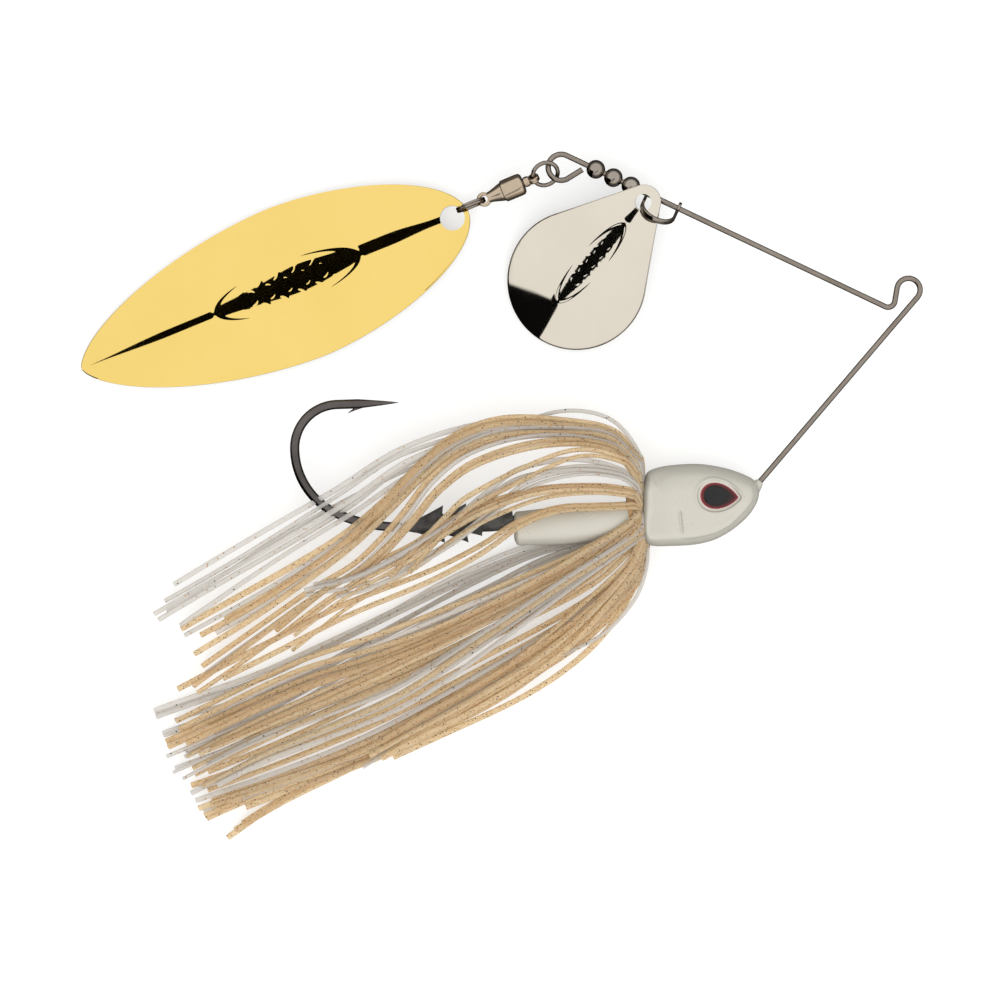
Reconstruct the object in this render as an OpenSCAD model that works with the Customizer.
// Spinnerbait: a bent-wire fishing lure with a weighted head, a skirted hook and two spinning blades.
// Stored lying on its side on a flat surface. X runs along the lure towards the head and line tie,
// Y towards the blade arm, Z up off the surface. Units are millimetres.

/* [Frame wire] */
// Wire diameter
wire_d = 0.89; // [0.7:0.01:0.95]
// Height of the wire's plane above the surface
wire_z = 4.85; // [4.85:0.05:5.2]

/* [Head] */
// Depth that each cheek stands out from the wire's plane
head_half = 4.85; // [4.5:0.05:4.85]
// Radius of the collar body behind the head
collar_r = 2.3; // [2:0.05:2.4]

/* [Hook] */
// Hook wire diameter
hook_d = 1.5; // [1.2:0.05:1.6]

/* [Beads] */
// Bead diameter
bead_d = 3.0; // [2.6:0.05:3.05]
// Distance between bead centres
bead_pitch = 3.1; // [3.08:0.02:3.2]

/* [Blades] */
// Sheet thickness of both blades
blade_t = 0.5; // [0.4:0.05:0.6]
// Depth of the round blade's bowl
bowl_depth = 3.6; // [3:0.1:4]
// Cross curve radius of the long blade
leaf_curve = 34; // [30:1:40]

/* [Skirt] */
// Radius of a skirt lock where it leaves the tie
lock_root = 0.45; // [0.4:0.05:0.5]
// Largest radius of a skirt lock
lock_body = 0.9; // [0.7:0.05:0.9]

/* [Part] */
// Sub-part to draw

/* [Hidden] */
$fn = 48;
wr = wire_d / 2;
hr = hook_d / 2;
run = 0.08;
cast = 0.02;

// Plan of the frame wire: nose exit, line-tie bend, back bend and end loop
nose = [41.12, 2.4];
tie_c = [65.36, 33.62];
tie_r = 1.85;
leg_a = 260.3;
leg_l = 2.2;
back_r = 1.1;
loop_c = [9.79, 53.23];
loop_r = 2.08;
function dir(a) = [cos(a), sin(a)];
function ang(p, q) = atan2(q[1] - p[1], q[0] - p[0]);
low_a = ang(nose, tie_c) - asin(tie_r / norm(tie_c - nose));
tie_in = tie_c + tie_r * dir(low_a - 90);
tie_out = tie_c + tie_r * dir(leg_a - 90);
leg_end = tie_out + leg_l * dir(leg_a);
back_c = leg_end + back_r * dir(leg_a - 90);
arm_a = ang(back_c, loop_c) - asin((back_r + loop_r) / norm(loop_c - back_c));
arm_in = back_c + back_r * dir(arm_a + 90);
arm_out = loop_c + loop_r * dir(arm_a - 90);
// Along the blade arm, measured back from the loop
arm_v = -dir(arm_a);
arm_n = dir(arm_a + 90);
tail_end = arm_out + 3.2 * arm_v + 0.97 * arm_n;
tail_a = ang(loop_c, tail_end) - acos(loop_r / norm(tail_end - loop_c)) + 360;
tail_in = loop_c + loop_r * dir(tail_a);
bead_t = 5.15;

// Clevis and round blade
clevis_t = 17.0;
clevis_w = 2.75;
clevis_tilt = 50;
clevis_leg = 3.0;
strap_t = 0.5;
strap_w = 0.9;
hang_perp = 1.755;
hang_xy = arm_out + (clevis_t - clevis_w) * arm_v + hang_perp * arm_n;
hang_z = wire_z + hang_perp * tan(clevis_tilt);
bowl_a = 229.1;
bowl_x = 16.55;
bowl_r = 11.2;
eye_r = 2.75;
eye_hole = 1.3;
bowl_tilt = 13.3;

// Swivel chain, running from the loop down towards the long blade
chain_a = 21.9;
chain_drop = 8;
ring_r = 2.05;
ring_w = 0.32;
ring_tilt = 38;
ring_c = [7.25, 52.16];
stem_xy = ring_c - ring_r * dir(chain_a);
barrel_eye = 8.6;
split_r = 2.3;

// Long blade
leaf_len = 67.5;
leaf_mid = 37.5;
leaf_w = 12.7;
leaf_hole = 2.0;
leaf_hole_s = 64.7;
leaf_bow = 330;
leaf_tip = [-67.69, 21.15];
leaf_tilt = 1.55;
leaf_z = 2.6;

// Hook plan
shank_a = 3.5;
bend_a = [-25.89, 8.32];
bend_ar = 6.96;
bend_b = [-21.33, 8.32];
bend_br = 11.52;
bend_cr = 23.4;
turn_b = 65;
hook_p = bend_b + bend_br * dir(180 + turn_b);
bend_c = hook_p + bend_cr * dir(turn_b);
shank_in = bend_c + bend_cr * dir(shank_a - 90);
eye_c = shank_in + 43.5 * dir(shank_a);
hook_eye_r = 1.75;
point_a = 1.9;

// Collar where the skirt is tied
tie_x = 21.2;
collar_a = 5;
collar_c = [21.2, -1.75];
body_len = 19.6;

// Straights run a hair into the bends, and the bends are a hair thicker, so the pieces join cleanly
lap = 0.02;
swell = 0.004;

module rod(p, q, r, z) {
    a = ang(p, q);
    translate([p[0] - lap * cos(a), p[1] - lap * sin(a), z])
        rotate([0, 0, a])
            rotate([0, 90, 0])
                cylinder(r = r, h = norm(q - p) + 2 * lap);
}

module bend(c, big, a0, a1, r, z, grow = swell, over = 0) {
    more = over / big * 180 / PI;
    translate([c[0], c[1], z])
        rotate([0, 0, a0 - more])
            rotate_extrude(angle = a1 - a0 + 2 * more)
                translate([big, 0])
                    circle(r = r + grow);
}

module frame_path(r) {
    rod(nose - 4.5 * dir(low_a), tie_in, r, wire_z);
    bend(tie_c, tie_r, low_a - 90, leg_a - 90, r, wire_z);
    rod(tie_out, leg_end, r, wire_z);
    bend(back_c, back_r, arm_a + 90, leg_a + 90, r, wire_z);
    rod(arm_in, arm_out, r, wire_z);
    bend(loop_c, loop_r, arm_a - 90, tail_a, r, wire_z);
    rod(tail_in, tail_end, r, wire_z);
}

module frame_wire() {
    color([0.35, 0.32, 0.3])
        frame_path(wr);
}

function head_outline() = [[23.04, 3.2], [23.6, 4.6], [25.28, 5.2], [28.16, 5.65], [32, 5.76],
    [35.84, 5.15], [38.72, 4.2], [40.6, 3.2], [41.3, 2.1], [41.41, 0.9], [40.96, -0.64],
    [39.68, -2.56], [37.76, -4.32], [35.84, -5.6], [33.92, -6.5], [31.04, -7.15], [27.2, -7.36],
    [24.32, -7.3], [23.3, -6.4]];

module head_layer(inset, half) {
    translate([0, 0, wire_z - half])
        linear_extrude(height = 2 * half)
            offset(delta = -inset)
                polygon(head_outline());
}

function drop_outline(a, b, n = 28) = [for (i = [0:n - 1])
    let (u = 360 * i / n, k = 1 - 0.28 * max(0, cos(u)))
    [a * cos(u), b * sin(u) * k]];

module eye_place(side) {
    translate([34.7, 0.5, wire_z + side * head_half])
        rotate([side < 0 ? 180 : 0, 0, 0])
            rotate([0, 0, side * -6])
                children();
}

module hook_path(r) {
    rod(shank_in, eye_c - hook_eye_r * dir(shank_a), r, wire_z);
    bend(bend_c, bend_cr, 180 + turn_b, 270 + shank_a, r, wire_z, swell, lap);
    bend(bend_b, bend_br, 180, 180 + turn_b, r, wire_z, 2 * swell);
    bend(bend_a, bend_ar, 90 + point_a, 180, r, wire_z, swell, lap);
    bend(eye_c, hook_eye_r, 0, 360, r - 0.15, wire_z);
}

module head() {
    color([0.85, 0.84, 0.8])
        difference() {
            union() {
                hull() {
                    head_layer(0, 1.6);
                    head_layer(0.45, 2.9);
                    head_layer(1.2, 4.0);
                    head_layer(2.5, head_half);
                }
                translate([collar_c[0], collar_c[1], wire_z])
                    rotate([0, 0, collar_a])
                        rotate([0, -90, 0])
                            translate([0, 0, -3])
                                cylinder(r = collar_r, h = body_len + 3);
            }
            hook_path(hr + cast);
            frame_path(wr + cast);
            for (side = [-1, 1])
                eye_place(side)
                    translate([0, 0, -0.5])
                        linear_extrude(height = 1)
                            polygon(drop_outline(3.3, 2.4));
        }
}

module hook() {
    tip_in = bend_a + bend_ar * dir(90 + point_a);
    color([0.2, 0.19, 0.19]) {
        hook_path(hr);
        rod(tip_in, tip_in + 3.2 * dir(point_a), hr, wire_z);
        translate([tip_in[0] + 3.2 * cos(point_a), tip_in[1] + 3.2 * sin(point_a), wire_z])
            rotate([0, 0, point_a])
                rotate([0, 90, 0])
                    cylinder(r1 = hr - swell, r2 = 0.06, h = 6.7);
        translate([tip_in[0] + 3.9 * cos(point_a), tip_in[1] + 3.9 * sin(point_a) - 0.35, wire_z])
            rotate([0, 0, point_a + 203])
                rotate([0, 90, 0])
                    cylinder(r1 = 0.42, r2 = 0.08, h = 2.3);
    }
}

module barb(x, r1, r2, len) {
    translate([x, 0, 0])
        rotate([0, 90, 0])
            cylinder(r1 = r1, r2 = r2, h = len);
}

module keeper() {
    color([0.28, 0.27, 0.26])
        translate([shank_in[0], shank_in[1], wire_z])
            rotate([0, 0, shank_a])
                difference() {
                    union() {
                        barb(1.0, 1.1, 3.3, 4.6);
                        barb(5.6, 1.9, 3.35, 3.8);
                        barb(9.4, 1.9, 2.6, 2.3);
                    }
                    rotate([0, 90, 0])
                        cylinder(r = hr + cast, h = 14);
                }
}

module eye(side) {
    eye_place(side)
        translate([0, 0, -0.48])
            linear_extrude(height = 0.38)
                polygon(drop_outline(3.05, 2.15));
}

module eye_left() {
    color([0.75, 0.08, 0.05])
        eye(-1);
}

module eye_right() {
    color([0.75, 0.08, 0.05])
        eye(1);
}

module pupil(side) {
    eye_place(side)
        translate([-0.25, 0, -0.1])
            linear_extrude(height = 0.09)
                polygon(drop_outline(2.2, 1.6));
}

module pupil_left() {
    color([0.05, 0.05, 0.05])
        pupil(-1);
}

module pupil_right() {
    color([0.05, 0.05, 0.05])
        pupil(1);
}

module skirt_tie() {
    color([0.8, 0.7, 0.5])
        translate([collar_c[0], collar_c[1], wire_z])
            rotate([0, 0, collar_a])
                rotate([0, -90, 0])
                    difference() {
                        cylinder(r = 2.9, h = 1.6, center = true);
                        cylinder(r = collar_r + cast, h = 2, center = true);
                    }
}

// A lock leaves the tie, folds forward against the head, flares out and sweeps back to its tip
function catmull(p, i, t) = let (a = p[max(i - 1, 0)], b = p[i], c = p[i + 1],
    d = p[min(i + 2, len(p) - 1)])
    0.5 * (2 * b + (c - a) * t + (2 * a - 5 * b + 4 * c - d) * t * t
        + (3 * b - a - 3 * c + d) * t * t * t);
function along(p, u) = let (n = len(p) - 1, i = min(floor(u * n), n - 1))
    catmull(p, i, u * n - i);
function lock_r(u) = lock_root + (lock_body - lock_root) * sin(180 * pow(u, 0.55)) * (1 - 0.15 * u);
function lifted(q, r) = [q[0], q[1], max(q[2], r)];
function waypoints(th, fl, tip, lift) = let (
    ey = sin(th), ez = cos(th), z0 = wire_z,
    c = collar_c, out = ez > 0 ? 4.9 : 4.3)
    [[c[0] - 0.2, c[1] + 3.6 * ey, z0 + 3.6 * ez],
     [c[0] + 0.55, c[1] + 4.9 * ey, z0 + out * ez],
     [c[0] - 0.1, c[1] + (0.5 * fl + 3) * ey, z0 + (out + 0.5) * ez + 0.2 * lift],
     [c[0] - 7, c[1] + fl * ey + 0.10 * (tip[1] - c[1]), z0 + 4.3 * ez + lift],
     [0.55 * c[0] + 0.45 * tip[0] - 4, 0.55 * (c[1] + 0.9 * fl * ey) + 0.45 * tip[1],
        0.6 * (z0 + 4.0 * ez) + 0.4 * tip[2] + lift],
     tip];
module lock(th, fl, tip, lift) {
    p = waypoints(th, fl, tip, lift);
    n = 22;
    m = 8;
    pts = [for (i = [0:n])
        let (u = i / n, r = lock_r(u), q = lifted(along(p, u), r),
            f = along(p, min(u + 0.01, 1)) - along(p, max(u - 0.01, 0)),
            t = f / norm(f),
            s = cross(t, [0, 0, 1]) / max(norm(cross(t, [0, 0, 1])), 0.001),
            w = cross(s, t))
        for (j = [0:m - 1])
            q + r * cos(360 * j / m) * s + r * sin(360 * j / m) * w];
    faces = concat(
        [[for (j = [0:m - 1]) j]],
        [[for (j = [m - 1:-1:0]) n * m + j]],
        [for (i = [0:n - 1]) for (j = [0:m - 1])
            [i * m + j, (i + 1) * m + j, i * m + (j + 1) % m]],
        [for (i = [0:n - 1]) for (j = [0:m - 1])
            [(i + 1) * m + j, (i + 1) * m + (j + 1) % m, i * m + (j + 1) % m]]);
    polyhedron(points = pts, faces = faces, convexity = 6);
}

module skirt_white() {
    color([0.82, 0.8, 0.78]) {
        lock(77, 13, [-56.6, -22.3, 3.0], 4.4);
        lock(23, 7, [-51.0, -28.5, 3.6], 3.6);
        lock(-28, 8, [-48.5, -44.2, 3.0], 2.8);
        lock(-79, 9, [-26.0, -44.8, 3.4], 1.6);
        lock(-128, 8.5, [-50.1, -51.9, 0.9], -0.6);
        lock(-180, 4, [-53.2, -37.0, 0.9], -0.6);
        lock(127, 8, [-2.0, 3.2, 0.9], -0.8);
    }
}

module skirt_tan() {
    color([0.83, 0.7, 0.5]) {
        lock(50, 10, [-54.6, -16.9, 3.0], 5.0);
        lock(-3, 6.5, [-52.0, -33.0, 2.8], 3.0);
        lock(-53, 8.5, [-47.9, -50.0, 2.6], 1.6);
        lock(-104, 9, [-44.0, -55.45, 0.9], -0.2);
        lock(-153, 6, [-54.4, -43.4, 0.9], -0.8);
        lock(152, 4, [-33.0, -25.0, 0.9], -0.8);
        lock(104, 9, [-12.0, 3.5, 1.2], -0.4);
    }
}

module on_arm(t) {
    q = arm_out + t * arm_v;
    translate([q[0], q[1], wire_z])
        rotate([0, 0, arm_a + 180])
            children();
}

module bead(i) {
    color([0.25, 0.24, 0.23])
        on_arm(bead_t + i * bead_pitch)
            rotate([0, 90, 0])
                rotate_extrude()
                    difference() {
                        circle(d = bead_d);
                        translate([wr + run - bead_d, -bead_d])
                            square([bead_d, 2 * bead_d]);
                    }
}

module bead_1() {
    bead(0);
}

module bead_2() {
    bead(1);
}

module bead_3() {
    bead(2);
}

module clevis() {
    color([0.5, 0.47, 0.42])
        on_arm(clevis_t)
            rotate([180 - clevis_tilt, 0, 0])
                difference() {
                    union() {
                        for (side = [-1, 1])
                            translate([side * clevis_w, 0, 0]) {
                                rotate([0, 90, 0])
                                    cylinder(r = 1.05, h = strap_t, center = true);
                                translate([-strap_t / 2, 0, -strap_w / 2])
                                    cube([strap_t, clevis_leg, strap_w]);
                            }
                        translate([0, clevis_leg, 0])
                            rotate_extrude(angle = 180)
                                translate([clevis_w, 0])
                                    square([strap_t, strap_w], center = true);
                    }
                    rotate([0, 90, 0])
                        cylinder(r = wr + run, h = 9, center = true);
                }
}

// The round blade: an outline of two circles and their tangents, cupped about the bowl's centre
function bowl_edge(a) = let (s = asin((bowl_r - eye_r) / bowl_x), b = abs(a))
    b < 90 + s ? bowl_r
    : let (r = bowl_r / cos(b - 90 - s),
        x = r * cos(b), y = r * sin(b))
      (x + bowl_x + eye_r * sin(s) > 0) ? r
      : let (k = bowl_x * cos(180 - b))
        k + sqrt(max(k * k - bowl_x * bowl_x + eye_r * eye_r, 0));
function bowl_power(a) = 1 + 0.9 * pow((1 - cos(a)) / 2, 2);
function bowl_h(q, a) = bowl_depth * pow(1 - q * q, bowl_power(a));

// A thin cupped sheet on a ring grid about its middle: the same rings twice, joined at the rim
module shell(top, n, m) {
    low = [for (p = top) p - [0, 0, blade_t]];
    k = len(top);
    faces = concat(
        [for (i = [0:n - 1]) [0, 1 + (i + 1) % n, 1 + i]],
        [for (i = [0:n - 1]) [k, k + 1 + i, k + 1 + (i + 1) % n]],
        [for (j = [0:m - 2]) for (i = [0:n - 1])
            let (b = 1 + j * n, c = b + n, e = (i + 1) % n)
            each [[b + i, b + e, c + i], [b + e, c + e, c + i]]],
        [for (j = [0:m - 2]) for (i = [0:n - 1])
            let (b = k + 1 + j * n, c = b + n, e = (i + 1) % n)
            each [[b + i, c + i, b + e], [b + e, c + i, c + e]]],
        [for (i = [0:n - 1])
            let (b = 1 + (m - 1) * n, e = (i + 1) % n)
            each [[b + i, b + e, k + b + i], [b + e, k + b + e, k + b + i]]]);
    polyhedron(points = concat(top, low), faces = faces, convexity = 6);
}

module round_blade() {
    n = 44;
    m = 7;
    top = concat([[bowl_x, 0, bowl_depth]],
        [for (j = [1:m]) for (i = [0:n - 1])
            let (a = 360 * i / n - 180, q = j / m, r = q * bowl_edge(a))
            [bowl_x + r * cos(a), r * sin(a), bowl_h(q, a)]]);
    color([0.85, 0.82, 0.78])
        translate([hang_xy[0], hang_xy[1], hang_z])
            rotate([0, 0, bowl_a])
                rotate([0, bowl_tilt, 0])
                    difference() {
                        shell(top, n, m);
                        cylinder(r = eye_hole, h = 6, center = true);
                    }
}

// The long blade: pointed at the tip, blunter at the eye, gently cupped both ways
function leaf_edge(s) = s < leaf_mid
    ? leaf_w * pow(max(1 - pow((leaf_mid - s) / leaf_mid, 1.75), 0), 0.65)
    : leaf_w * pow(max(1 - pow((s - leaf_mid) / (leaf_len - leaf_mid), 1.75), 0), 0.54);
function leaf_h(s, v) = -v * v / (2 * leaf_curve) - pow(s - leaf_mid, 2) / (2 * leaf_bow);

module leaf_blade() {
    n = 52;
    m = 6;
    top = concat([[leaf_mid, 0, 0]],
        [for (j = [1:m]) for (i = [0:n - 1])
            let (u = 360 * i / n, c = cos(u), q = j / m,
                s = leaf_mid - (c > 0 ? leaf_mid : leaf_len - leaf_mid) * c,
                v = (u < 180 ? -1 : 1) * leaf_edge(s),
                x = leaf_mid + q * (s - leaf_mid), y = q * v)
            [x, y, leaf_h(x, y)]]);
    color([0.93, 0.75, 0.35])
        translate([leaf_tip[0], leaf_tip[1], leaf_z])
            rotate([0, 0, chain_a])
                rotate([0, -leaf_tilt, 0])
                    difference() {
                        shell(top, n, m);
                        translate([leaf_hole_s, 0, -2])
                            cylinder(r = leaf_hole, h = 6, center = true);
                    }
}

module in_chain(s) {
    translate([stem_xy[0], stem_xy[1], wire_z])
        rotate([0, 0, chain_a])
            rotate([0, -chain_drop, 0])
                translate([-s, 0, 0])
                    children();
}

module turned(s0, s1, r0, r1) {
    in_chain(s1)
        rotate([0, 90, 0])
            cylinder(r1 = r1, r2 = r0, h = s1 - s0);
}

module front_ring() {
    color([0.5, 0.46, 0.4])
        translate([ring_c[0], ring_c[1], wire_z])
            rotate([0, 0, chain_a])
                rotate([ring_tilt, 0, 0])
                    rotate_extrude()
                        translate([ring_r, 0])
                            circle(r = ring_w);
}

module swivel_stem() {
    color([0.55, 0.5, 0.44])
        difference() {
            union() {
                in_chain(0)
                    rotate([ring_tilt, 0, 0])
                        rotate([90, 0, 0])
                            cylinder(r = 0.95, h = 0.9, center = true);
                turned(0.75, 1.65, 0.8, 0.8);
                turned(1.65, 3.1, 0.55, 0.55);
                turned(3.0, 3.5, 1.1, 1.1);
            }
            in_chain(0)
                rotate([ring_tilt, 0, 0])
                    rotate([90, 0, 0])
                        cylinder(r = 0.52, h = 3, center = true);
        }
}

module swivel_barrel() {
    color([0.6, 0.54, 0.46])
        difference() {
            union() {
                turned(1.75, 2.05, 1.45, 1.8);
                turned(2.05, 5.3, 1.8, 1.8);
                turned(5.3, 5.7, 1.8, 1.4);
                turned(5.7, 7.7, 1.4, 0.85);
                in_chain(barrel_eye)
                    cylinder(r = 1.2, h = 0.95, center = true);
            }
            turned(1.7, 2.5, 0.55 + run, 0.55 + run);
            turned(2.4, 4.0, 1.35, 1.35);
            in_chain(barrel_eye)
                cylinder(r = 0.6, h = 3, center = true);
        }
}

module bearing_balls() {
    color([0.7, 0.7, 0.7])
        for (i = [0:5])
            in_chain(2.7)
                rotate([60 * i, 0, 0])
                    translate([0, 0.94, 0])
                        sphere(r = 0.27);
}

module split_ring() {
    color([0.6, 0.55, 0.48])
        in_chain(barrel_eye + split_r)
            rotate([90, 0, 0])
                rotate_extrude()
                    translate([split_r, 0])
                        polygon([[-0.24, -0.34], [0.24, -0.34], [0.24, -0.06], [0.14, 0],
                            [0.24, 0.06], [0.24, 0.34], [-0.24, 0.34]]);
}

frame_wire();
head();
hook();
keeper();
eye_left();
eye_right();
pupil_left();
pupil_right();
skirt_tie();
skirt_white();
skirt_tan();
bead_1();
bead_2();
bead_3();
clevis();
round_blade();
front_ring();
swivel_stem();
swivel_barrel();
bearing_balls();
split_ring();
leaf_blade();
